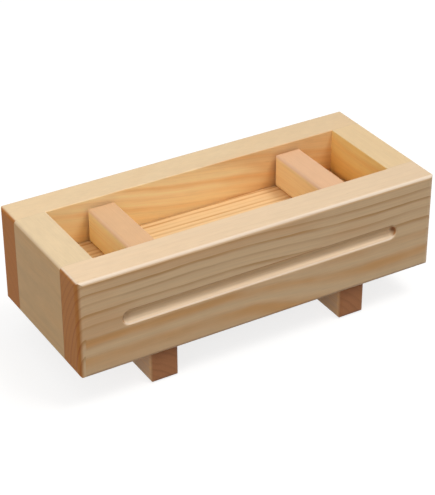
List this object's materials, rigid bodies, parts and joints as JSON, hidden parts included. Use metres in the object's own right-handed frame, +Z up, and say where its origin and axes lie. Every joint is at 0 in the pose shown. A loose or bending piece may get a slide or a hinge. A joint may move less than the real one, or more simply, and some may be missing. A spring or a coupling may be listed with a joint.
{
  "type": "sushi rice mold press",
  "caption": "Wooden rice press: an open box frame with finger grooves, a lid board with cross grips that presses inside it, and a footed base board.",
  "frame": {"origin": "on the table under the middle of the frame, at the bottom centre of the whole press", "axes": "+X along the length of the box, +Y across it to the back, +Z up"},
  "size_m": [0.24, 0.101, 0.0845],
  "materials": {
    "frame_pine": "planed and sanded, unfinished",
    "board_pine": "planed, unfinished, strong straight grain",
    "cleat_wood": "sanded, unfinished, pinkish",
    "dowel_wood": "turned, glued in"
  },
  "bodies": {
    "base": {"base_board": "board_pine", "foot_cleat_left": "cleat_wood", "foot_cleat_right": "cleat_wood", "foot_dowel_left_front": "dowel_wood", "foot_dowel_left_back": "dowel_wood", "foot_dowel_right_front": "dowel_wood", "foot_dowel_right_back": "dowel_wood"},
    "frame": {"front_wall": "frame_pine", "back_wall": "frame_pine", "left_end_wall": "frame_pine", "right_end_wall": "frame_pine", "corner_dowel_left_front_lower": "dowel_wood", "corner_dowel_left_front_upper": "dowel_wood", "corner_dowel_left_back_lower": "dowel_wood", "corner_dowel_left_back_upper": "dowel_wood", "corner_dowel_right_front_lower": "dowel_wood", "corner_dowel_right_front_upper": "dowel_wood", "corner_dowel_right_back_lower": "dowel_wood", "corner_dowel_right_back_upper": "dowel_wood"},
    "lid": {"lid_board": "board_pine", "lid_cleat_left": "cleat_wood", "lid_cleat_right": "cleat_wood", "lid_dowel_left_front": "dowel_wood", "lid_dowel_left_back": "dowel_wood", "lid_dowel_right_front": "dowel_wood", "lid_dowel_right_back": "dowel_wood"}
  },
  "joints": [
    {"name": "frame_lift", "type": "slide", "parent": "base", "child": "frame", "axis": [0, 0, 1], "range_m": [0, 0.06]},
    {"name": "lid_lift", "type": "slide", "parent": "base", "child": "lid", "axis": [0, 0, 1], "range_m": [0, 0.05]}
  ]
}
